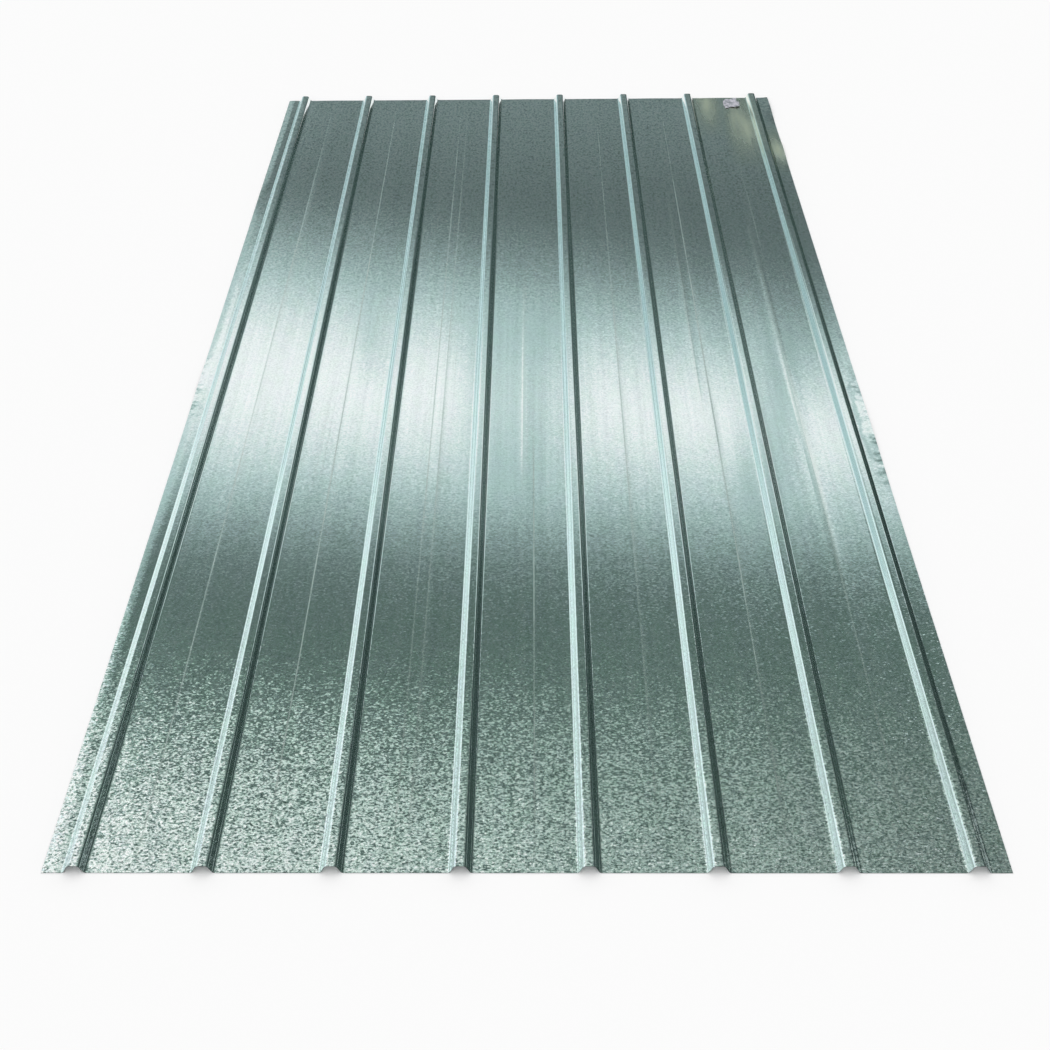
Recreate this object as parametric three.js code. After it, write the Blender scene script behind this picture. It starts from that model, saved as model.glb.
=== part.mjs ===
// A box-rib steel sheet: one length of galvanised coil, roll-formed into narrow ribs with wide flat pans between them.
// Millimetres. The ribs run along Y, the sheet is WIDTH across X, and the pans lie on Z = 0 with the ribs upwards.
// The origin is under the middle of the sheet.
import * as THREE from "three";

// Driving dimensions.
const LENGTH = 2000; // a stock length, along the ribs
const WIDTH = 950; // over the two side edges
const THICKNESS = 0.5; // of the coil, zinc included
const PROFILE_HEIGHT = 10; // from the underside of a pan to the top of a rib
const RIB_COUNT = 8;
const RIB_PITCH = 126.5; // from the middle of one rib to the middle of the next
const RIB_FOOT = 21; // width of a rib between its two lower folds
const RIB_CROWN = 11; // width of a rib between its two upper folds
const BEND_RADIUS = 2.5; // inside each fold
const BEND_FACETS = 8; // round each fold

// A fold is measured on the sheet's middle surface, half a thickness from either face.
const HALF_THICKNESS = THICKNESS / 2;
const MIDDLE_RADIUS = BEND_RADIUS + HALF_THICKNESS;
const PAN_LEVEL = HALF_THICKNESS;
const CROWN_LEVEL = PROFILE_HEIGHT - HALF_THICKNESS;

// Galvanised steel with its spangle pressed small: a cool grey with a faint green cast, fairly smooth.
const galvanisedSteel = new THREE.MeshStandardMaterial({
  name: "galvanised_steel",
  color: 0x9fb0aa,
  roughness: 0.38,
  metalness: 0.9,
});

// The four folds of the rib whose middle is at x, from left to right.
function ribFolds(x) {
  return [
    new THREE.Vector2(x - RIB_FOOT / 2, PAN_LEVEL),
    new THREE.Vector2(x - RIB_CROWN / 2, CROWN_LEVEL),
    new THREE.Vector2(x + RIB_CROWN / 2, CROWN_LEVEL),
    new THREE.Vector2(x + RIB_FOOT / 2, PAN_LEVEL),
  ];
}

// The sheet's middle surface seen from its end: a side edge, every fold, and the other side edge.
function middleLine() {
  const firstRib = (-(RIB_COUNT - 1) * RIB_PITCH) / 2;
  const ribMiddles = Array.from({ length: RIB_COUNT }, (_, i) => firstRib + i * RIB_PITCH);
  return [
    new THREE.Vector2(-WIDTH / 2, PAN_LEVEL),
    ...ribMiddles.flatMap(ribFolds),
    new THREE.Vector2(WIDTH / 2, PAN_LEVEL),
  ];
}

// The arc that rounds the sheet's face at a fold, between the corners before and after it.
// The face is the one on the right of the direction of travel, so it is outside a turn to the left.
function foldArc(before, fold, after) {
  const arriving = fold.clone().sub(before).normalize();
  const leaving = after.clone().sub(fold).normalize();
  const turn = Math.sign(arriving.cross(leaving)); // 1 to the left, -1 to the right
  const bendAngle = Math.acos(arriving.dot(leaving));
  const inwards = new THREE.Vector2(-arriving.y, arriving.x).multiplyScalar(turn);
  const centre = fold
    .clone()
    .addScaledVector(arriving, -MIDDLE_RADIUS * Math.tan(bendAngle / 2))
    .addScaledVector(inwards, MIDDLE_RADIUS);
  const startAngle = Math.atan2(-inwards.y, -inwards.x);
  return {
    centre,
    radius: MIDDLE_RADIUS + turn * HALF_THICKNESS,
    startAngle,
    endAngle: startAngle + turn * bendAngle,
    clockwise: turn < 0,
  };
}

// Continues the outline along one face of the sheet, with straight runs between its rounded folds.
function traceFace(outline, corners) {
  for (let i = 1; i < corners.length - 1; i++) {
    const arc = foldArc(corners[i - 1], corners[i], corners[i + 1]);
    outline.absarc(arc.centre.x, arc.centre.y, arc.radius, arc.startAngle, arc.endAngle, arc.clockwise);
  }
}

// The closed cross-section: down one cut edge, along the underside, up the other edge, and back along the top.
function crossSection() {
  const corners = middleLine();
  const outline = new THREE.Shape();
  outline.moveTo(-WIDTH / 2, THICKNESS);
  outline.lineTo(-WIDTH / 2, 0);
  traceFace(outline, corners);
  outline.lineTo(WIDTH / 2, 0);
  outline.lineTo(WIDTH / 2, THICKNESS);
  traceFace(outline, corners.toReversed());
  outline.closePath();
  return outline;
}

// The whole sheet: its cross-section drawn out along the ribs, then laid flat with the ribs along Y.
function corrugatedSheet() {
  const geometry = new THREE.ExtrudeGeometry(crossSection(), {
    depth: LENGTH,
    steps: 1,
    bevelEnabled: false,
    curveSegments: BEND_FACETS / 2, // an arc gets two facets for each of these
  });
  const sheet = new THREE.Mesh(geometry, galvanisedSteel);
  sheet.name = "corrugated_sheet";
  sheet.rotation.x = Math.PI / 2;
  sheet.position.y = LENGTH / 2;
  return sheet;
}

const part = new THREE.Group();
part.name = "corrugated_metal_sheet";
part.add(corrugatedSheet());

export default part;
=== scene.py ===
import math

import bpy
import numpy as np
from mathutils import Matrix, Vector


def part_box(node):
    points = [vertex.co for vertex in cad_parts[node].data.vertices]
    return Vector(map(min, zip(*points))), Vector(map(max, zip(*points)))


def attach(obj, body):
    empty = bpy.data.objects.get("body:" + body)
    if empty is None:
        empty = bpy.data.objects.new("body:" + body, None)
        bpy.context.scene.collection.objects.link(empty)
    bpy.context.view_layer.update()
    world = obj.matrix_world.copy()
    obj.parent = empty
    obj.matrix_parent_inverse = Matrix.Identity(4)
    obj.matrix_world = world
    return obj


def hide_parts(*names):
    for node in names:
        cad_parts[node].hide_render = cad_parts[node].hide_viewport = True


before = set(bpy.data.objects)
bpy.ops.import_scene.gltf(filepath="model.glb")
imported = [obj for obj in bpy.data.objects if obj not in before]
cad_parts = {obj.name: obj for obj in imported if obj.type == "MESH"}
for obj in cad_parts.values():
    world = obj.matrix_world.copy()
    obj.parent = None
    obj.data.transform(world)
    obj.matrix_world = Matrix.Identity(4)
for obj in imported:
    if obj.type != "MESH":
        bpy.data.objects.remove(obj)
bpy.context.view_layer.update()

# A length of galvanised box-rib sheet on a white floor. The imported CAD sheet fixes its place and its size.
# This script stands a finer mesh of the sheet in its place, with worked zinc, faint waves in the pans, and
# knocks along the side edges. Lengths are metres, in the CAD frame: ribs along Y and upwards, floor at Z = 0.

SHEET = "corrugated_sheet"
LOW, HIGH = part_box(SHEET)
SEED = 7

# The rolled section. It is the CAD sheet's, but its folds are rounder than the 2.5 mm there.
THICKNESS = 0.0005
RIB_COUNT = 8
RIB_PITCH = 0.1265
RIB_FOOT = 0.0210
RIB_CROWN = 0.0110
BEND_RADIUS = 0.0040
HALF_THICKNESS = THICKNESS / 2
MIDDLE_RADIUS = BEND_RADIUS + HALF_THICKNESS
PAN_LEVEL = LOW.z + HALF_THICKNESS
CROWN_LEVEL = HIGH.z - HALF_THICKNESS
HALF_WIDTH = HIGH.x
HALF_LENGTH = HIGH.y

# How finely the sheet is divided.
FOLD_STEPS = 8  # facets round each fold
EDGE_GUARD = 0.0005  # from a fold to the next column, so that the flat beside it shades flat
PAN_STEP = 0.011  # the widest column in a pan
ROW_STEP = 0.020  # along the ribs
MARK_DECIMALS = 4  # the columns that marks need are rounded to a tenth of a millimetre
SAME_LEVEL = 1e-7  # two columns this close in height lie on one flat
SHARP_ANGLE = math.radians(40)  # edges that turn further than this are shaded sharp

# Fine lines that the rolls leave along a pan. The places are from the middle of the rib on the pan's left.
# (pan from the left, place of the line's near end, place of its far end, half-width, strength,
# start along the sheet, end)
ROLL_MARKS = (
    (1, 0.0580, 0.0585, 0.0016, 0.90, -1.00, 1.00),
    (2, 0.0580, 0.0580, 0.0016, 0.85, -1.00, 1.00),
    (3, 0.0590, 0.0590, 0.0016, 0.75, -1.00, 1.00),
    (3, 0.0730, 0.0725, 0.0016, 0.75, -1.00, 1.00),
    (4, 0.0730, 0.0730, 0.0016, 0.90, -1.00, -0.20),
    (5, 0.0710, 0.0705, 0.0016, 0.85, -1.00, 1.00),
    (6, 0.0715, 0.0710, 0.0016, 0.95, -1.00, 1.00),
    (7, 0.0650, 0.0650, 0.0018, 0.70, -1.00, -0.35),
    (7, 0.0700, 0.0705, 0.0016, 0.65, 0.30, 0.80),
)
# Broader lines that the rolls rubbed bright, in the same terms.
BRIGHT_MARKS = (
    (4, 0.0590, 0.0590, 0.0040, 0.80, -0.40, 0.30),
    (6, 0.0570, 0.0570, 0.0040, 0.80, -0.20, 0.60),
    (7, 0.0670, 0.0585, 0.0058, 1.00, -0.60, 0.50),
)
BRIGHT_RISE = 0.00032  # they stand up as low ridges
MARK_FADE = 0.12  # how far a mark takes to fade at its ends

# Lines that the rolls leave up the left side of every rib, by their places from the rib's middle.
RIB_LINES = (-0.0104, -0.0066)
RIB_LINE_HALF_WIDTH = 0.0008
RIB_LINE_STRENGTH = 0.55

# Faint waves: how far a pan rises between its ribs, and how long the waves are along the sheet.
PAN_RISE = 0.00040
WAVE_LENGTHS = (1.6, 0.9, 0.55)

# Knocks along the two side strips: (side, place along the sheet, half-length, lift of the edge).
LIP_KNOCKS = (
    (-1, -0.08, 0.060, 0.0012),
    (-1, 0.55, 0.090, 0.0006),
    (1, -0.20, 0.080, 0.0016),
    (1, 0.74, 0.045, 0.0024),
    (1, 0.95, 0.050, 0.0030),
)

# The left side strip is bent over: it rises from the rib's foot over a share of its width, then slopes down.
STRIP_RISE = 0.0009
STRIP_RISE_SHARE = 0.15

# Stretches of the side strips that are crinkled: (side, start along the sheet, end).
LIP_CRINKLES = (
    (-1, -0.18, 0.00),
    (1, -0.35, -0.05),
    (1, 0.87, 1.00),
)
CRINKLE_FADE = 0.05  # how far a crinkled stretch takes to fade at its ends

# Dulled patches towards the far end, as (middle across, middle along, half-size across, half-size along).
STAINS = (
    (0.3520, 0.985, 0.036, 0.190),
    (0.4110, 0.880, 0.042, 0.230),
    (0.4640, 0.750, 0.022, 0.115),
)
STAIN_SOFTNESS = 1.2  # the power that draws a patch in from its outline

# A torn scrap of bare film stuck to the far end of the last pan.
SCRAP_MIDDLE = (0.400, 0.969)
SCRAP_SIZE = (0.0225, 0.028)  # half-sizes across and along
SCRAP_THICKNESS = 0.00012
SCRAP_RINGS = 6
SCRAP_SPOKES = 40
SCRAP_CURL = 0.0030  # how far its right side lifts
SCRAP_SEED = SEED + 1
SCRAP_WAVES = range(2, 9)  # to the turn, in its torn outline
SCRAP_TEAR = 0.56  # depth of those waves, before it is divided by their number
SCRAP_FRAY = 0.08  # how far single points of the outline stray
CREASE_SIZE = (0.006, 0.010, 0.006)
CREASE_RANGE = (0.38, 0.56)
CREASE_DEPTH = 0.0008
# The film's colour runs from painted shade in the creases' hollows to its own pale lilac on their ridges.
FILM_CREASE_SHADE = (0.24, 0.26, 0.29, 1)
FILM_LIGHT = (0.54, 0.54, 0.60, 1)
FILM_ROUGHNESS = 0.6

# How many octaves a noise has, and how strong each is beside the one before it.
PLAIN_NOISE = (2.0, 0.50)
RICH_NOISE = (3.0, 0.50)
GRAIN_NOISE = (2.0, 0.60)
STREAK_NOISE = (4.0, 0.65)

# The parts of a noise's range, which is 0 to 1, that are spread over a whole effect.
NOISE_RANGE = (0.30, 0.70)
EVEN_RANGE = (0.35, 0.65)
PATCH_RANGE = (0.30, 0.60)

NEUTRAL = (1, 1, 1, 1)

# A Mix node's sockets for colours, by number: the factor and the two colours, and the result.
MIX_INPUTS = (0, 6, 7)
MIX_RESULT = 2

# The zinc. A pair of depths or shares is for the sheet in general and for its near end.
ZINC_DARK = (0.84, 0.92, 0.92, 1)
ZINC_LIGHT = (0.90, 0.98, 0.98, 1)
ZINC_LIMIT = (0.98, 0.98, 0.98)  # no grain is brighter than this
ZINC_GREENER = (0.93, 1.0, 0.91, 1)
ZINC_REDDER = (1.0, 0.945, 1.0, 1)
HUE_SIZE = (0.020, 0.045, 0.020)
HUE_PATCHES = (0.80, 0.35)  # share of the hue that changes from patch to patch, not from crystal to crystal
HUE_DEPTH = (0.40, 1.0)
ZINC_ROUGHNESS = (0.065, 0.095)  # from crystal to crystal
CRYSTAL_SIZE = (0.0026, 0.0018, 0.0026)
GRAIN_SIZE = (0.0037, 0.0018, 0.0037)
GRAIN_SHARE = 2.5  # of the grain in the lean, because its noise varies less than the crystals do
NEAR_STRONG_GRAIN = (-0.50, -1.00)  # along the sheet, where the stronger grain of the near end sets in and is full
FAR_COARSE = (0.00, 0.70)  # the same at the far end
LEAN = (0.014, 0.125)  # how far the grains lean
SPECKLE_SIZE = (0.0026, 0.0025, 0.0026)
SPECKLE_DEPTH = (0.13, 0.62)
COARSE_SIZE = (0.0038, 0.0065, 0.0038)
COARSE_DEPTH = 0.44  # at the far end
PRESSED_SMOOTH = (0.75, 0.98)  # upright part of the normal at which the grain sets in and is full
SIDE_SHARE = 0.12  # of the grain, left on the ribs' sides
STREAK_SIZE = (0.0060, 0.9, 0.0060)
STREAK_RANGE = (0.35, 0.70)
STREAK_TONES = (1.04, 0.92)
STREAK_DEPTH = 0.000008
STREAK_ROUGH_RANGE = (0.30, 0.80)
STREAK_ROUGHNESS = 0.015
BROAD_STREAK_SIZE = (0.016, 0.60, 0.016)
BROAD_STREAK_TONES = (1.03, 0.95)
CLOUD_SIZE = (0.12, 0.25, 0.12)
CLOUD_ROUGHNESS = 0.015
MARK_ROUGHNESS = 0.38
MARK_COLOUR = (0.80, 0.86, 0.83, 1)
NEAR_MARK_COLOUR = (0.26, 0.29, 0.27, 1)  # at the near end, where the marks are dark
MARK_PATCHES = (0.03, 0.14, 0.03)  # stretches where the rolls marked more and less
MARK_SHARES = (0.60, 1.00)  # of a mark, from where they marked less to where they marked more
BRIGHT_COLOUR = (0.93, 0.97, 0.95, 1)
BRIGHT_ROUGHNESS = 0.14
CRINKLE_SIZE = (0.024, 0.030, 0.024)
CRINKLE_DEPTH = 0.0012
STAIN_COLOUR = (0.98, 0.98, 0.80, 1)
STAIN_GRAIN = (0.020, 0.110, 0.020)
STAIN_SHARES = (0.75, 1.00)
STAIN_ROUGHNESS = 0.50

# The sheared edges: bare steel, its colour painted near-black as shade along the cut.
BURR_SIZE = (0.0012, 0.0012, 0.0003)
BURR_RANGE = (0.20, 0.80)
BURR_DEPTH = 0.00004
SHADED_CUT_DARK = (0.030, 0.034, 0.034, 1)
SHADED_CUT_LIGHT = (0.110, 0.120, 0.120, 1)
CUT_ROUGHNESS = (0.35, 0.60)

# The camera, placed from the perspective of the ribs and the two cut ends.
CAMERA_PLACE = (0.0103, -2.0457, 1.1946)
CAMERA_TILT = math.radians(36.418)  # below the horizon
CAMERA_TURN = math.radians(1.075)  # to the left of +Y
CAMERA_ROLL = math.radians(-0.809)
CAMERA_LENS = 54.40  # millimetres
CAMERA_SENSOR = 36.0  # its width in millimetres
CAMERA_SHIFT = 0.014

# The studio. The far wall and the other cards stand round the sheet, hang over it or lie beside it, and show
# only in its reflections.
FLOOR_SIZE = 60.0
WHITE = (0.97, 0.97, 0.97, 1)
MATT_ROUGHNESS = 0.9
ROOM_LEFT = -3.4
ROOM_RIGHT = 3.0
ROOM_NEAR = -4.2
WALL_Y = 4.0
WALL_SPREAD = (0.47, 0.35)  # from the wall's middle to its sides, as so much of the height and a fixed part
FAR_WALL = ((-1.30, 0.90), (1.15, 0.90), (2.00, 3.30), (5.20, 7.20), (-3.90, 7.20))  # x and z
BAND_BOTTOM = (1.66, 2.57)  # where the bright band across the wall sets in, going up, and where it is full
BAND_TOP = (3.69, 2.56)  # the same, going down
BAND_SLANTS = (0.17, 0.06)  # how far the band's bottom and top rise for each metre to the right
CEILING_EDGE = (4.30, 5.60)  # where the lit ceiling sets in, and where it is full
FOOT_EDGE = (1.20, 1.60)  # where the wall is lightest at its foot, and where it is dim
DIM_LEVELS = (0.24, 0.158)  # at its foot and above
MARGIN = (-0.97, -1.06)  # where the wall's left margin sets in, and where it is full, as a share of its reach
MARGIN_LEVELS = (0.60, 1.00)  # what the margin is mixed with, low and high up
MARGIN_RISE = (3.50, 5.50)  # the heights between which that changes
MARGIN_SHARE = 0.60  # of that in the mixture
BAND_LEVEL = 0.99
CEILING_LEVELS = (1.00, 0.22)  # at the left and at the right
GLARE = (0.62, 0.97)  # the brightness above which the room's tint fades, and at which it is gone
LOWER_TINT = (0.77, 1.0, 0.98, 1)
UPPER_TINT = (0.66, 1.0, 0.87, 1)
CEILING_TINT = (0.80, 1.0, 0.92, 1)
TINT_CHANGE = (3.20, 4.20)  # the heights between which the tint changes
PIERS = (  # left, right, bottom and top, and the share of the brightness that is left
    (-0.75, -0.61, 2.15, 2.43, 0.75),
    (-0.28, 0.17, 2.20, 3.00, 0.74),
    (1.00, 1.20, 2.30, 3.10, 0.68),
)
PIER_SOFTNESS = 0.05
BAND_CARD_Y = 4.05  # just behind the far wall, which its bright band outreaches on the right
BACK_Y = 4.10  # behind both
BAND_CARD = ((1.70, 2.52), (2.50, 2.85), (2.50, 3.70), (1.70, 3.50))  # x and z
WALL_MOTTLE_EDGE = (3.8, 5.0)  # the heights where the wall's mottling sets in and is full
WALL_MOTTLE = 0.70  # its depth then
CARD_MOTTLE = 0.12
MOTTLE_SIZE = 0.14
WHITE_BLUE = (0.85, 0.98, 0.98)
SOFT_BLUE = (0.55, 0.72, 0.76)
BLUE_GREY = (0.42, 0.58, 0.60)
DEEP_TEAL = (0.030, 0.048, 0.044)
DARK_TEAL = (0.045, 0.070, 0.065)
TEAL = (0.070, 0.100, 0.092)
DIM_TEAL = (0.080, 0.115, 0.105)
SLATE = (0.180, 0.240, 0.225)
MID_GREY = (0.27, 0.32, 0.31)
PALE_GREY = (0.80, 0.86, 0.85)
SKY_GREY = (0.60, 0.66, 0.65)
# Name, the two lower corners as (x, y), height, axis and places of its change, colours before and after.
CARDS = (
    ("left_far_card", (-9.0, BACK_Y), (-1.0, BACK_Y), 4.0, "X", (-2.5, -1.2), WHITE_BLUE, SOFT_BLUE),
    ("low_far_card", (ROOM_LEFT, WALL_Y), (ROOM_RIGHT, WALL_Y), 0.9, "X", (-0.9, 0.8), BLUE_GREY, DARK_TEAL),
    ("right_far_card", (0.5, BACK_Y), (9.0, BACK_Y), 9.0, "Z", (0.0, 3.5), DARK_TEAL, SLATE),
    ("right_card", (ROOM_RIGHT, BACK_Y), (ROOM_RIGHT, 2.3), 4.0, "Z", (0.0, 4.0), DEEP_TEAL, TEAL),
    ("near_right_card", (ROOM_RIGHT, 2.3), (ROOM_RIGHT, 1.4), 4.0, "Z", (0.0, 4.0), DEEP_TEAL, DIM_TEAL),
    ("side_card", (ROOM_RIGHT, 1.4), (ROOM_RIGHT, ROOM_NEAR), 4.5, "Z", (0.0, 4.5), MID_GREY, PALE_GREY),
    ("left_card", (ROOM_LEFT, 1.0), (ROOM_LEFT, BACK_Y), 5.0, "Z", (0.0, 4.0), WHITE_BLUE, WHITE_BLUE),
    ("near_left_card", (ROOM_LEFT, ROOM_NEAR), (ROOM_LEFT, 1.0), 4.5, "Z", (0.0, 4.5), MID_GREY, PALE_GREY),
    ("near_card", (ROOM_LEFT, ROOM_NEAR), (ROOM_RIGHT, ROOM_NEAR), 4.5, "Z", (0.0, 4.5), MID_GREY, PALE_GREY),
)
FLAG_START = 0.476  # just clear of the sheet's right edge
FLAG_RISE = 0.0002  # above the floor
FLOOR_FLAG = (
    (FLAG_START, ROOM_NEAR, FLAG_RISE),
    (ROOM_RIGHT, ROOM_NEAR, FLAG_RISE),
    (ROOM_RIGHT, WALL_Y, FLAG_RISE),
    (FLAG_START, WALL_Y, FLAG_RISE),
)
TOP_CARD = ((-5.0, -4.5, 7.0), (5.0, -4.5, 7.0), (5.0, 3.5, 7.0), (-5.0, 3.5, 7.0))


def arrival_and_bend(before, fold, after):
    """The unit direction that leads into a fold, and its bend angle, plus to the left."""
    arriving = (fold - before) / np.linalg.norm(fold - before)
    leaving = (after - fold) / np.linalg.norm(after - fold)
    cross = arriving[0] * leaving[1] - arriving[1] * leaving[0]
    return arriving, math.asin(cross)


def fold_reach():
    """How far a fold's arc reaches from its corner."""
    bend = math.atan2(CROWN_LEVEL - PAN_LEVEL, (RIB_FOOT - RIB_CROWN) / 2)
    return MIDDLE_RADIUS * math.tan(bend / 2)


def fold_arc(before, fold, after):
    """Rows of (x, z, normal x, normal z) round one fold of the middle surface."""
    arriving, bend = arrival_and_bend(before, fold, after)
    above = np.array([-arriving[1], arriving[0]])
    side = math.copysign(1.0, bend)
    centre = fold - arriving * fold_reach() + above * side * MIDDLE_RADIUS
    rows = []
    for turned in np.linspace(0.0, bend, FOLD_STEPS + 1):
        c, s = math.cos(turned), math.sin(turned)
        normal = np.array([c * above[0] - s * above[1], s * above[0] + c * above[1]])
        rows.append((*(centre - side * MIDDLE_RADIUS * normal), *normal))
    return rows


def rib_middles():
    """Where the ribs stand across the sheet."""
    return (np.arange(RIB_COUNT) - (RIB_COUNT - 1) / 2) * RIB_PITCH


def rib_folds(middle):
    """The four folds of one rib, from left to right."""
    return [
        np.array([middle - RIB_FOOT / 2, PAN_LEVEL]),
        np.array([middle - RIB_CROWN / 2, CROWN_LEVEL]),
        np.array([middle + RIB_CROWN / 2, CROWN_LEVEL]),
        np.array([middle + RIB_FOOT / 2, PAN_LEVEL]),
    ]


def mark_columns():
    """Places across the sheet that the marks need, a half-width apart from one side of each to the other."""
    columns = []
    for pan, near, far, half_width, *_ in (*ROLL_MARKS, *BRIGHT_MARKS):
        rib = rib_middles()[pan - 1]
        first = rib + min(near, far) - half_width
        last = rib + max(near, far) + half_width
        columns += np.arange(first, last + half_width / 2, half_width).tolist()
    return np.unique(np.round(columns, MARK_DECIMALS))


def flat_columns(start, end, level):
    """Columns of a level stretch between two folds, without its ends."""
    width = end - start
    if width <= 2 * EDGE_GUARD:
        return []
    inner = np.linspace(start + EDGE_GUARD, end - EDGE_GUARD, 1 + max(1, round(width / PAN_STEP)))
    needed = mark_columns()
    needed = needed[(needed > start + EDGE_GUARD) & (needed < end - EDGE_GUARD)]
    clear = [x for x in inner if not len(needed) or np.min(np.abs(needed - x)) > EDGE_GUARD]
    return [(x, level, 0.0, 1.0) for x in sorted([*clear, *needed])]


def section():
    """The middle surface from the left edge to the right, as rows of (x, z, normal x, normal z)."""
    corners = [np.array([-HALF_WIDTH, PAN_LEVEL])]
    for middle in rib_middles():
        corners += rib_folds(middle)
    corners.append(np.array([HALF_WIDTH, PAN_LEVEL]))
    columns = [(-HALF_WIDTH, PAN_LEVEL, 0.0, 1.0)]
    for before, fold, after in zip(corners, corners[1:], corners[2:]):
        arc = fold_arc(before, fold, after)
        if abs(arc[0][1] - columns[-1][1]) < SAME_LEVEL:
            columns += flat_columns(columns[-1][0], arc[0][0], arc[0][1])
        columns += arc
    columns += flat_columns(columns[-1][0], HALF_WIDTH, PAN_LEVEL)
    columns.append((HALF_WIDTH, PAN_LEVEL, 0.0, 1.0))
    return np.array(columns)


def long_wave(rng, y):
    """A smooth wave along the sheet, from 0 to 1."""
    wave = np.zeros_like(y)
    for length in WAVE_LENGTHS:
        wave += length * np.sin(2 * math.pi * y / length + rng.uniform(0, 2 * math.pi))
    return 0.5 + 0.5 * wave / sum(WAVE_LENGTHS)


def pan_waves(x, y):
    """How far each pan rises above its ribs' feet."""
    rng = np.random.default_rng(SEED)
    half_pan = (RIB_PITCH - RIB_FOOT) / 2 - fold_reach()
    rise = np.zeros((len(x), len(y)))
    for start in rib_middles()[:-1]:
        across = np.clip(np.abs(x - start - RIB_PITCH / 2) / half_pan, 0, 1)
        crown = (1 - across**2) ** 2
        rise += PAN_RISE * np.outer(crown, long_wave(rng, y))
    return rise


def outwards(x, side):
    """How far across a side strip each column is, from 0 at the rib's foot to 1 at the edge."""
    foot = rib_middles()[-1] + RIB_FOOT / 2 + fold_reach()
    return np.clip((side * x - foot) / (HALF_WIDTH - foot), 0, 1)


def lip_knocks(x, y):
    """How far the side strips are bent up where they were knocked."""
    rise = np.zeros((len(x), len(y)))
    for side, place, half_length, lift in LIP_KNOCKS:
        along = np.exp(-(((y - place) / half_length) ** 2))
        rise += lift * np.outer(outwards(x, side) ** 2, along)
    return rise


def strip_slope(x):
    """How far the left side strip stands up from being bent over."""
    across = outwards(x, -1)
    return STRIP_RISE * np.clip(across / STRIP_RISE_SHARE, 0, 1) * (1 - across)


def marks(rows, x, y):
    """Strength of the marks in these rows over the sheet, from 0 to 1."""
    strength = np.zeros((len(x), len(y)))
    for pan, near, far, half_width, weight, start, end in rows:
        middle = rib_middles()[pan - 1] + near + (far - near) * (y - start) / (end - start)
        across = np.clip(1 - np.abs(x[:, None] - middle) / half_width, 0, 1)
        along = np.clip((y - start) / MARK_FADE, 0, 1) * np.clip((end - y) / MARK_FADE, 0, 1)
        strength = np.maximum(strength, weight * across * along)
    return strength


def rib_lines(x, y):
    """Strength of the lines up the ribs' left sides, from 0 to 1."""
    strength = np.zeros(len(x))
    for middle in rib_middles():
        for place in RIB_LINES:
            across = np.clip(1 - np.abs(x - middle - place) / RIB_LINE_HALF_WIDTH, 0, 1)
            strength = np.maximum(strength, RIB_LINE_STRENGTH * across)
    return np.outer(strength, np.ones(len(y)))


def lip_crinkles(x, y):
    """How crinkled the side strips are, from 0 to 1."""
    strength = np.zeros((len(x), len(y)))
    for side, start, end in LIP_CRINKLES:
        along = np.clip((y - start) / CRINKLE_FADE, 0, 1) * np.clip((end - y) / CRINKLE_FADE, 0, 1)
        strength = np.maximum(strength, np.outer(outwards(x, side), along))
    return strength


def stains(x, y):
    """How far the zinc is dulled and yellowed over the sheet, from 0 to 1."""
    strength = np.zeros((len(x), len(y)))
    for middle_x, middle_y, half_x, half_y in STAINS:
        across = np.clip(1 - ((x - middle_x) / half_x) ** 2, 0, 1)
        along = np.clip(1 - ((y - middle_y) / half_y) ** 2, 0, 1)
        strength = np.maximum(strength, np.outer(across, along) ** STAIN_SOFTNESS)
    return strength


def grid_faces(first, columns, rows, turned):
    """Quads over a grid of points that is stored column by column."""
    faces = []
    for c in range(columns - 1):
        for r in range(rows - 1):
            a = first + c * rows + r
            b = a + rows
            faces.append((a, a + 1, b + 1, b) if turned else (a, b, b + 1, a + 1))
    return faces


def rim_faces(columns, rows):
    """Quads down the cut edges, between the upper and the lower grid."""
    left = list(range(rows))
    far = [c * rows + rows - 1 for c in range(columns)]
    right = [(columns - 1) * rows + r for r in reversed(range(rows))]
    near = [c * rows for c in reversed(range(columns))]
    loop = left + far[1:] + right[1:] + near[1:]
    under = columns * rows
    return [(a, b, b + under, a + under) for a, b in zip(loop, loop[1:])]


def add_piece(name, mesh):
    """Puts a mesh into the scene as a piece that rides the root body."""
    piece = bpy.data.objects.new(name, mesh)
    bpy.context.scene.collection.objects.link(piece)
    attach(piece, "root")
    return piece


def store(mesh, name, values):
    """Gives a grid's two faces a number at each point."""
    layer = mesh.attributes.new(name, "FLOAT", "POINT")
    layer.data.foreach_set("value", np.tile(values.ravel(), 2).astype(np.float32))


def sheet_points(columns, y, level):
    """The points of the sheet's upper face and then of its lower one, column by column."""
    x, _, normal_x, normal_z = columns.T
    points = []
    for face in (1, -1):
        grid = np.empty((len(x), len(y), 3))
        grid[..., 0] = (x + face * HALF_THICKNESS * normal_x)[:, None]
        grid[..., 1] = y
        grid[..., 2] = level + face * HALF_THICKNESS * normal_z[:, None]
        points.append(grid.reshape(-1, 3))
    return np.concatenate(points).tolist()


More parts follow.
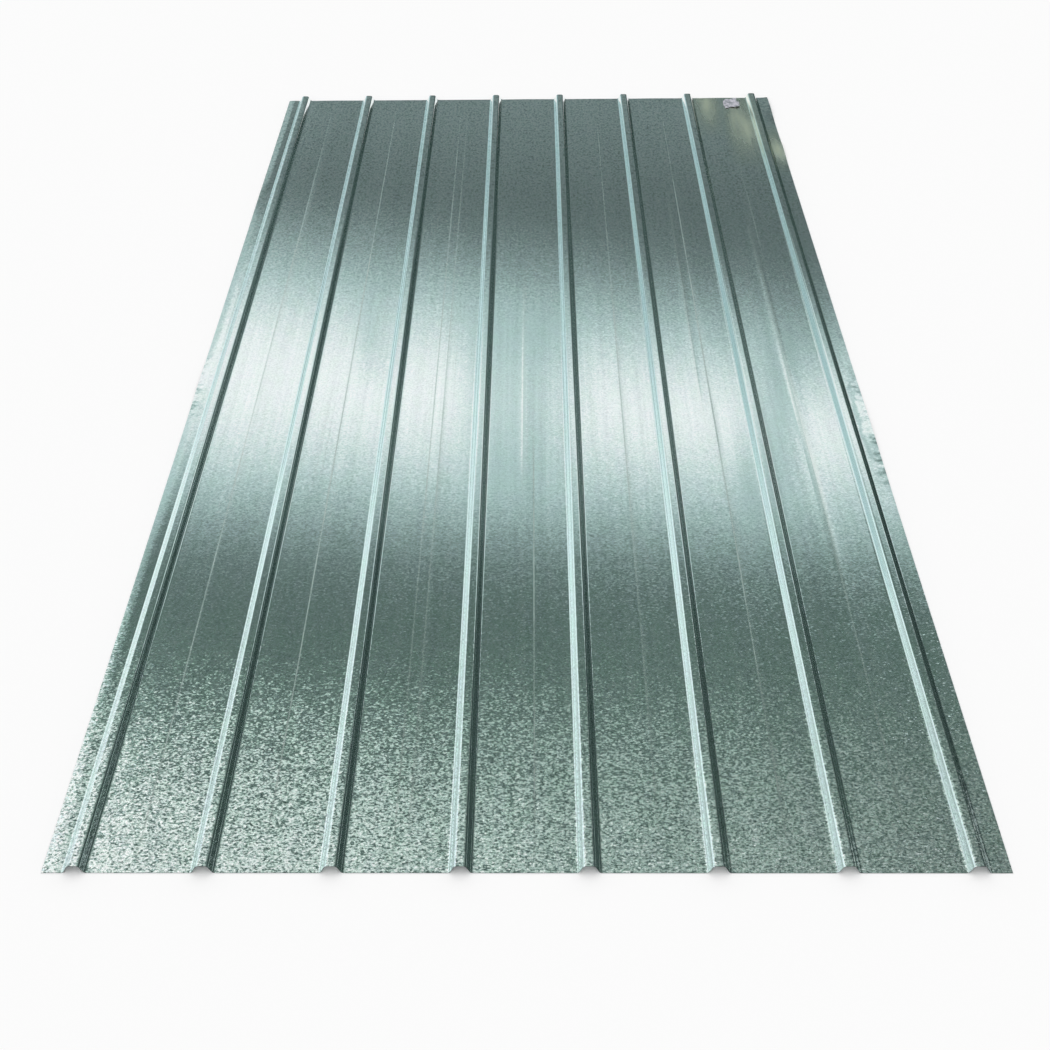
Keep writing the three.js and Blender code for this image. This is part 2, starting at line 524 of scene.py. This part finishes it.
def build_sheet():
    """The sheet as one closed mesh, with its marks, stains and crinkles as attributes."""
    columns = section()
    x, z = columns[:, 0], columns[:, 1]
    y = np.linspace(-HALF_LENGTH, HALF_LENGTH, 1 + round(2 * HALF_LENGTH / ROW_STEP))
    bright_marks = marks(BRIGHT_MARKS, x, y)
    level = (z + strip_slope(x))[:, None] + pan_waves(x, y) + lip_knocks(x, y) + BRIGHT_RISE * bright_marks
    faces = grid_faces(0, len(x), len(y), False) + grid_faces(len(x) * len(y), len(x), len(y), True)
    rims = rim_faces(len(x), len(y))
    mesh = bpy.data.meshes.new("box_rib_sheet")
    mesh.from_pydata(sheet_points(columns, y, level), [], faces + rims)
    store(mesh, "roll_mark", np.maximum(marks(ROLL_MARKS, x, y), rib_lines(x, y)))
    store(mesh, "bright_mark", bright_marks)
    store(mesh, "stain", stains(x, y))
    store(mesh, "crinkle", lip_crinkles(x, y))
    mesh.polygons.foreach_set("use_smooth", [True] * len(mesh.polygons))
    mesh.polygons.foreach_set("material_index", [0] * len(faces) + [1] * len(rims))
    mesh.set_sharp_from_angle(angle=SHARP_ANGLE)
    mesh.materials.append(galvanised_steel())
    mesh.materials.append(cut_steel_painted_shade())
    sheet = add_piece("box_rib_sheet", mesh)
    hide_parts(SHEET)


def torn_outline(spokes):
    """How far the scrap reaches along each spoke, as a share of its furthest reach."""
    rng = np.random.default_rng(SCRAP_SEED)
    reach = np.ones(SCRAP_SPOKES)
    for wave in SCRAP_WAVES:
        depth = rng.uniform(-SCRAP_TEAR, SCRAP_TEAR) / wave
        reach += depth * np.cos(wave * spokes + rng.uniform(0, 2 * math.pi))
    reach += rng.uniform(-SCRAP_FRAY, SCRAP_FRAY, SCRAP_SPOKES)
    return reach / reach.max()


def scrap_points():
    """Both faces of the scrap, each a middle point and then its rings, curling up on the right."""
    spokes = np.linspace(0, 2 * math.pi, SCRAP_SPOKES, endpoint=False)
    reach = torn_outline(spokes)
    floor = PAN_LEVEL + HALF_THICKNESS + PAN_RISE
    points = []
    for face in (1, 0):
        points.append((*SCRAP_MIDDLE, floor + face * SCRAP_THICKNESS))
        for ring in range(1, SCRAP_RINGS + 1):
            out = ring / SCRAP_RINGS
            x = SCRAP_MIDDLE[0] + SCRAP_SIZE[0] * reach * out * np.cos(spokes)
            y = SCRAP_MIDDLE[1] + SCRAP_SIZE[1] * reach * out * np.sin(spokes)
            z = floor + SCRAP_CURL * out**3 * (1 + np.cos(spokes)) / 2 + face * SCRAP_THICKNESS
            points += zip(x.tolist(), y.tolist(), z.tolist())
    return points


def scrap_faces():
    """A fan round each middle point, quads between the rings, and a rim between the two faces."""
    under = 1 + SCRAP_RINGS * SCRAP_SPOKES
    rim = 1 + (SCRAP_RINGS - 1) * SCRAP_SPOKES
    faces = []
    for i in range(SCRAP_SPOKES):
        j = (i + 1) % SCRAP_SPOKES
        faces.append((0, 1 + i, 1 + j))
        faces.append((under, under + 1 + j, under + 1 + i))
        for a in range(1, rim, SCRAP_SPOKES):
            b = a + SCRAP_SPOKES
            faces.append((a + i, b + i, b + j, a + j))
            faces.append((under + a + i, under + a + j, under + b + j, under + b + i))
        faces.append((rim + i, under + rim + i, under + rim + j, rim + j))
    return faces


def build_scrap():
    """A torn scrap of pale film, as a thin closed mesh."""
    mesh = bpy.data.meshes.new("film_scrap")
    mesh.from_pydata(scrap_points(), [], scrap_faces())
    mesh.polygons.foreach_set("use_smooth", [True] * len(mesh.polygons))
    mesh.set_sharp_from_angle(angle=SHARP_ANGLE)
    mesh.materials.append(pale_film())
    add_piece("film_scrap", mesh)


def new_material(name):
    """A node material, its tree and its Principled shader."""
    material = bpy.data.materials.new(name)
    material.use_nodes = True
    tree = material.node_tree
    return material, tree, tree.nodes["Principled BSDF"]


def plug(tree, socket, value):
    """Feeds a socket from another node's socket, or sets it to a value."""
    if isinstance(value, bpy.types.NodeSocket):
        tree.links.new(value, socket)
    else:
        socket.default_value = value


def add_node(tree, kind, settings=None, **inputs):
    """A node of this kind. Each input is a number, a colour or another node's socket."""
    node = tree.nodes.new(kind)
    for name, value in (settings or {}).items():
        setattr(node, name, value)
    for name, value in inputs.items():
        plug(tree, node.inputs[name.replace("_", " ")], value)
    return node


def vector_node(tree, operation, *values):
    """One operation on vectors or sockets."""
    node = add_node(tree, "ShaderNodeVectorMath", {"operation": operation})
    for socket, value in zip(node.inputs, values):
        plug(tree, socket, value)
    return node.outputs["Vector"]


def math_node(tree, operation, *values):
    """One operation on numbers or sockets."""
    node = add_node(tree, "ShaderNodeMath", {"operation": operation})
    for socket, value in zip(node.inputs, values):
        plug(tree, socket, value)
    return node.outputs["Value"]


def noise(tree, vector, size, octaves=PLAIN_NOISE, output="Fac"):
    """Noise with features of a size along each axis, in metres, as a number or as a colour."""
    detail, roughness = octaves
    stretched = vector_node(tree, "MULTIPLY", vector, [1 / s for s in size])
    return add_node(
        tree, "ShaderNodeTexNoise", Vector=stretched, Scale=1.0, Detail=detail, Roughness=roughness
    ).outputs[output]


def crystals(tree, vector, size):
    """A random colour for each crystal, with crystals of a size along each axis, in metres."""
    stretched = vector_node(tree, "MULTIPLY", vector, [1 / s for s in size])
    return add_node(tree, "ShaderNodeTexVoronoi", Vector=stretched, Scale=1.0).outputs["Color"]


def ramp(tree, value, low, high, to_low=0.0, to_high=1.0, easing="LINEAR"):
    """value from low..high carried over to to_low..to_high, held at the ends."""
    return add_node(
        tree,
        "ShaderNodeMapRange",
        {"interpolation_type": easing},
        Value=value,
        From_Min=low,
        From_Max=high,
        To_Min=to_low,
        To_Max=to_high,
    ).outputs["Result"]


def mix_colours(tree, factor, a, b):
    """A blend of two colours, each a tuple or a socket."""
    node = add_node(tree, "ShaderNodeMix", {"data_type": "RGBA"})
    for number, value in zip(MIX_INPUTS, (factor, a, b)):
        plug(tree, node.inputs[number], value)
    return node.outputs[MIX_RESULT]


def mix_numbers(tree, factor, a, b):
    """A blend of two numbers, each a number or a socket."""
    return math_node(tree, "ADD", a, math_node(tree, "MULTIPLY", factor, math_node(tree, "SUBTRACT", b, a)))


def grain_left(tree):
    """How much grain is left: all of it on pans and crowns, and little on the ribs' sides, pressed smooth."""
    upright = add_node(tree, "ShaderNodeNewGeometry").outputs["Normal"]
    up = add_node(tree, "ShaderNodeSeparateXYZ", Vector=upright).outputs["Z"]
    return ramp(tree, math_node(tree, "ABSOLUTE", up), *PRESSED_SMOOTH, SIDE_SHARE, 1.0)


def leaned(tree, crystal, grain, amount):
    """The surface's normal, leaned at random from crystal to crystal and from grain to grain."""
    middle = (1 + GRAIN_SHARE) / 2
    lean = vector_node(tree, "MULTIPLY_ADD", grain, (GRAIN_SHARE,) * 3, crystal)
    lean = vector_node(tree, "MULTIPLY", vector_node(tree, "SUBTRACT", lean, (middle,) * 3), amount)
    upright = add_node(tree, "ShaderNodeNewGeometry").outputs["Normal"]
    return vector_node(tree, "NORMALIZE", vector_node(tree, "ADD", upright, lean))


def speckle(tree, place, near, far, share):
    """How bright each grain is beside the others, which differ more at both ends of the sheet."""
    fine = ramp(tree, noise(tree, place, SPECKLE_SIZE), *NOISE_RANGE, -1.0, 1.0)
    coarse = ramp(tree, noise(tree, place, COARSE_SIZE), *NOISE_RANGE, -1.0, 1.0)
    uneven = math_node(tree, "MULTIPLY", fine, mix_numbers(tree, near, *SPECKLE_DEPTH))
    uneven = math_node(tree, "MULTIPLY_ADD", coarse, math_node(tree, "MULTIPLY", far, COARSE_DEPTH), uneven)
    return math_node(tree, "MULTIPLY_ADD", uneven, share, 1.0)


def attribute(tree, name):
    """A number that the sheet's mesh holds at each point."""
    return add_node(tree, "ShaderNodeAttribute", {"attribute_name": name}).outputs["Fac"]


def zinc_hue(tree, place, crystal_numbers, near):
    """A faint tint that changes from patch to patch and from crystal to crystal."""
    patches = ramp(tree, noise(tree, place, HUE_SIZE), *EVEN_RANGE)
    patch_share = mix_numbers(tree, near, *HUE_PATCHES)
    hues = mix_numbers(tree, patch_share, crystal_numbers.outputs["Green"], patches)
    hue = mix_colours(tree, hues, ZINC_GREENER, ZINC_REDDER)
    return mix_colours(tree, mix_numbers(tree, near, *HUE_DEPTH), NEUTRAL, hue)


def zinc_tone(tree, place, crystal_numbers, streaks, grains, near):
    """The colour of unmarked zinc: crystals and grains that differ a little, and streaks along the ribs."""
    tone = mix_colours(tree, crystal_numbers.outputs["Red"], ZINC_DARK, ZINC_LIGHT)
    tone = vector_node(tree, "MULTIPLY", tone, zinc_hue(tree, place, crystal_numbers, near))
    tone = vector_node(tree, "MULTIPLY", tone, ramp(tree, streaks, *STREAK_RANGE, *STREAK_TONES))
    broad = noise(tree, place, BROAD_STREAK_SIZE, RICH_NOISE)
    tone = vector_node(tree, "MULTIPLY", tone, ramp(tree, broad, *EVEN_RANGE, *BROAD_STREAK_TONES))
    return vector_node(tree, "MINIMUM", vector_node(tree, "MULTIPLY", tone, grains), ZINC_LIMIT)


def zinc_colour(tree, tone, near, mark, bright, stain):
    """The zinc's tone, with the rolls' marks and the stains over it."""
    tone = mix_colours(tree, mark, tone, mix_colours(tree, near, MARK_COLOUR, NEAR_MARK_COLOUR))
    tone = mix_colours(tree, bright, tone, BRIGHT_COLOUR)
    return mix_colours(tree, stain, tone, STAIN_COLOUR)


def zinc_roughness(tree, place, crystal_numbers, streaks, mark, bright, stain):
    """Zinc is nearly as smooth as a mirror, but the roll marks and the dulled patches scatter."""
    clouds = noise(tree, place, CLOUD_SIZE)
    rough = ramp(tree, crystal_numbers.outputs["Blue"], 0.0, 1.0, *ZINC_ROUGHNESS)
    rough = math_node(tree, "ADD", rough, ramp(tree, streaks, *STREAK_ROUGH_RANGE, 0.0, STREAK_ROUGHNESS))
    rough = math_node(tree, "ADD", rough, ramp(tree, clouds, *NOISE_RANGE, 0.0, CLOUD_ROUGHNESS))
    worn = math_node(tree, "MULTIPLY", mark, ramp(tree, streaks, *PATCH_RANGE, *MARK_SHARES))
    rough = mix_numbers(tree, worn, rough, MARK_ROUGHNESS)
    rough = mix_numbers(tree, bright, rough, BRIGHT_ROUGHNESS)
    return mix_numbers(tree, math_node(tree, "MULTIPLY", stain, stain), rough, STAIN_ROUGHNESS)


def zinc_normal(tree, place, crystal, streaks, lean):
    """The surface's normal, with leaning grains, faint ridges along the streaks, and crinkles."""
    grain = noise(tree, place, GRAIN_SIZE, GRAIN_NOISE, output="Color")
    crinkle_depth = math_node(tree, "MULTIPLY", attribute(tree, "crinkle"), CRINKLE_DEPTH)
    height = math_node(tree, "MULTIPLY", streaks, STREAK_DEPTH)
    height = math_node(tree, "MULTIPLY_ADD", noise(tree, place, CRINKLE_SIZE), crinkle_depth, height)
    normal = leaned(tree, crystal, grain, lean)
    return add_node(tree, "ShaderNodeBump", Height=height, Distance=1.0, Normal=normal).outputs["Normal"]


def galvanised_steel():
    """Zinc with a fine pressed spangle, faint streaks, and the marks that the sheet's mesh holds."""
    material, tree, shader = new_material("galvanised_steel")
    place = add_node(tree, "ShaderNodeTexCoord").outputs["Object"]
    along = add_node(tree, "ShaderNodeSeparateXYZ", Vector=place).outputs["Y"]
    near = ramp(tree, along, *NEAR_STRONG_GRAIN)
    far = ramp(tree, along, *FAR_COARSE)
    share = grain_left(tree)
    crystal = crystals(tree, place, CRYSTAL_SIZE)
    crystal_numbers = add_node(tree, "ShaderNodeSeparateColor", Color=crystal)
    streaks = noise(tree, place, STREAK_SIZE, STREAK_NOISE)
    patches = ramp(tree, noise(tree, place, MARK_PATCHES), *PATCH_RANGE, *MARK_SHARES)
    mark = math_node(tree, "MULTIPLY", attribute(tree, "roll_mark"), patches)
    bright = math_node(tree, "MULTIPLY", attribute(tree, "bright_mark"), patches)
    stain_grain = ramp(tree, noise(tree, place, STAIN_GRAIN), *PATCH_RANGE, *STAIN_SHARES)
    stain = math_node(tree, "MULTIPLY", attribute(tree, "stain"), stain_grain)
    tone = zinc_tone(tree, place, crystal_numbers, streaks, speckle(tree, place, near, far, share), near)
    lean = math_node(tree, "MULTIPLY", mix_numbers(tree, near, *LEAN), share)
    plug(tree, shader.inputs["Base Color"], zinc_colour(tree, tone, near, mark, bright, stain))
    rough = zinc_roughness(tree, place, crystal_numbers, streaks, mark, bright, stain)
    plug(tree, shader.inputs["Roughness"], rough)
    plug(tree, shader.inputs["Normal"], zinc_normal(tree, place, crystal, streaks, lean))
    shader.inputs["Metallic"].default_value = 1.0
    return material


def cut_steel_painted_shade():
    """The sheared edges: bare steel with fine burr lines, its colour painted near-black as shade along the
    cut.
    """
    material, tree, shader = new_material("cut_steel_painted_shade")
    place = add_node(tree, "ShaderNodeTexCoord").outputs["Object"]
    burr = noise(tree, place, BURR_SIZE)
    # painted shade: both tones of the edge are near-black, so that the cut shows as a dark line
    plug(tree, shader.inputs["Base Color"], mix_colours(tree, burr, SHADED_CUT_DARK, SHADED_CUT_LIGHT))
    plug(tree, shader.inputs["Roughness"], ramp(tree, burr, *BURR_RANGE, *CUT_ROUGHNESS))
    bump = add_node(tree, "ShaderNodeBump", Height=burr, Distance=BURR_DEPTH)
    plug(tree, shader.inputs["Normal"], bump.outputs["Normal"])
    shader.inputs["Metallic"].default_value = 1.0
    return material


def pale_film():
    """Torn film, chalky and a little lilac, with creases whose hollows are painted darker as shade."""
    material, tree, shader = new_material("pale_film")
    place = add_node(tree, "ShaderNodeTexCoord").outputs["Object"]
    creases = noise(tree, place, CREASE_SIZE, RICH_NOISE)
    # painted shade: the colour follows the creases' height, darker in their hollows
    tone = mix_colours(tree, ramp(tree, creases, *CREASE_RANGE), FILM_CREASE_SHADE, FILM_LIGHT)
    plug(tree, shader.inputs["Base Color"], tone)
    bump = add_node(tree, "ShaderNodeBump", Height=creases, Distance=CREASE_DEPTH)
    plug(tree, shader.inputs["Normal"], bump.outputs["Normal"])
    shader.inputs["Roughness"].default_value = FILM_ROUGHNESS
    return material


def mottled(tree, colour, place, depth):
    """A colour made lighter and darker in soft patches, by up to the depth."""
    patches = noise(tree, place, (MOTTLE_SIZE,) * 3, RICH_NOISE)
    shade = math_node(tree, "MULTIPLY_ADD", ramp(tree, patches, *NOISE_RANGE, -1.0, 1.0), depth, 1.0)
    return vector_node(tree, "MULTIPLY", colour, shade)


def matt_surface(name, paint):
    """A matt material for the studio. paint makes its colour, given the tree and the place in the room."""
    material, tree, shader = new_material(name)
    place = add_node(tree, "ShaderNodeTexCoord").outputs["Object"]
    plug(tree, shader.inputs["Base Color"], paint(tree, place))
    shader.inputs["Roughness"].default_value = MATT_ROUGHNESS
    shader.inputs["Specular IOR Level"].default_value = 0.0
    return material


def paint_white(tree, place):
    """The painter for the floor, which is plain white all over."""
    return WHITE


def pier_shade(tree, across, upwards, left, right, bottom, top, shade):
    """1 away from a pier and its shade on it, with soft edges."""
    cover = 1.0
    for value, start, end in ((across, left, right), (upwards, bottom, top)):
        rising = ramp(tree, value, start - PIER_SOFTNESS, start + PIER_SOFTNESS)
        falling = ramp(tree, value, end + PIER_SOFTNESS, end - PIER_SOFTNESS)
        cover = math_node(tree, "MULTIPLY", cover, math_node(tree, "MULTIPLY", rising, falling))
    return ramp(tree, cover, 0.0, 1.0, 1.0, shade)


def band_edge(tree, across, upwards, slant, start, full):
    """0 to 1 across one slanting edge of the bright band."""
    height = math_node(tree, "MULTIPLY_ADD", across, -slant, upwards)
    return ramp(tree, height, start, full, easing="SMOOTHSTEP")


def room_tint(tree, brightness, upwards):
    """The room is a cool green, more so high up but less on the ceiling, except where it is bright."""
    tint = mix_colours(tree, ramp(tree, upwards, *TINT_CHANGE), LOWER_TINT, UPPER_TINT)
    tint = mix_colours(tree, ramp(tree, upwards, *CEILING_EDGE), tint, CEILING_TINT)
    return mix_colours(tree, ramp(tree, brightness, *GLARE), tint, NEUTRAL)


def paint_far_wall(tree, place):
    """A dim wall with a bright slanting band across it, darker piers, and a ceiling lit from the left."""
    parts = add_node(tree, "ShaderNodeSeparateXYZ", Vector=place)
    across, upwards = parts.outputs["X"], parts.outputs["Z"]
    reach = math_node(tree, "MULTIPLY_ADD", upwards, *WALL_SPREAD)
    side = math_node(tree, "DIVIDE", across, reach)
    ceiling = ramp(tree, side, -1.0, 1.0, *CEILING_LEVELS)
    dim = ramp(tree, upwards, *FOOT_EDGE, *DIM_LEVELS)
    level = mix_numbers(tree, ramp(tree, upwards, *CEILING_EDGE, easing="SMOOTHSTEP"), dim, ceiling)
    rising = band_edge(tree, across, upwards, BAND_SLANTS[0], *BAND_BOTTOM)
    falling = band_edge(tree, across, upwards, BAND_SLANTS[1], *BAND_TOP)
    level = mix_numbers(tree, math_node(tree, "MULTIPLY", rising, falling), level, BAND_LEVEL)
    for edges_and_shade in PIERS:
        level = math_node(tree, "MULTIPLY", level, pier_shade(tree, across, upwards, *edges_and_shade))
    margin = math_node(tree, "MULTIPLY", ramp(tree, side, *MARGIN), MARGIN_SHARE)
    level = mix_numbers(tree, margin, level, ramp(tree, upwards, *MARGIN_RISE, *MARGIN_LEVELS))
    colour = vector_node(tree, "MULTIPLY", room_tint(tree, level, upwards), level)
    return mottled(tree, colour, place, ramp(tree, upwards, *WALL_MOTTLE_EDGE, 0.0, WALL_MOTTLE))


def paint_card(axis, places, before, after):
    """A painter for a card whose colour changes evenly between two places along an axis."""

    def paint(tree, place):
        distance = add_node(tree, "ShaderNodeSeparateXYZ", Vector=place).outputs[axis]
        colour = mix_colours(tree, ramp(tree, distance, *places), (*before, 1), (*after, 1))
        return mottled(tree, colour, place, CARD_MOTTLE)

    return paint


def paint_plain(colour):
    """A painter for a card of one colour."""

    def paint(tree, place):
        return mottled(tree, colour, place, CARD_MOTTLE)

    return paint


def stage_panel(name, corners, paint):
    """A flat piece of the studio."""
    mesh = bpy.data.meshes.new(name)
    mesh.from_pydata(corners, [], [range(len(corners))])
    mesh.materials.append(matt_surface(name, paint))
    piece = bpy.data.objects.new(name, mesh)
    bpy.context.scene.collection.objects.link(piece)
    return piece


def reflection_card(name, corners, paint):
    """A card that only the metal's reflections see, so that it neither shows nor shades the floor."""
    card = stage_panel(name, corners, paint)
    card.visible_camera = False
    card.visible_diffuse = False
    card.visible_transmission = False
    card.visible_shadow = False


def build_world():
    """A plain white world, which is the only light."""
    world = bpy.data.worlds.new("white_studio")
    world.use_nodes = True
    world.node_tree.nodes["Background"].inputs["Color"].default_value = NEUTRAL
    world.cycles.sampling_method = "NONE"
    bpy.context.scene.world = world


def build_studio():
    """White floor, a graded far wall, and cards round the other sides, above and on the floor."""
    half = FLOOR_SIZE / 2
    corners = ((-half, -half, 0), (half, -half, 0), (half, half, 0), (-half, half, 0))
    stage_panel("floor", corners, paint_white)
    reflection_card("far_wall", [(x, WALL_Y, z) for x, z in FAR_WALL], paint_far_wall)
    reflection_card("band_card", [(x, BAND_CARD_Y, z) for x, z in BAND_CARD], paint_plain(WHITE_BLUE))
    for name, (x0, y0), (x1, y1), height, *change in CARDS:
        corners = ((x0, y0, 0), (x1, y1, 0), (x1, y1, height), (x0, y0, height))
        reflection_card(name, corners, paint_card(*change))
    reflection_card("top_card", TOP_CARD, paint_plain(SKY_GREY))
    reflection_card("floor_flag", FLOOR_FLAG, paint_plain(DARK_TEAL))


def build_camera():
    """The camera at the viewpoint worked out from the ribs."""
    lens = bpy.data.cameras.new("camera")
    lens.lens = CAMERA_LENS
    lens.sensor_width = CAMERA_SENSOR
    lens.shift_x = CAMERA_SHIFT
    camera = bpy.data.objects.new("camera", lens)
    camera.matrix_world = (
        Matrix.Translation(CAMERA_PLACE)
        @ Matrix.Rotation(CAMERA_TURN, 4, "Z")
        @ Matrix.Rotation(math.pi / 2 - CAMERA_TILT, 4, "X")
        @ Matrix.Rotation(CAMERA_ROLL, 4, "Z")
    )
    bpy.context.scene.collection.objects.link(camera)
    bpy.context.scene.camera = camera


build_sheet()
build_scrap()
build_world()
build_studio()
build_camera()
bpy.context.scene.view_settings.view_transform = "Standard"
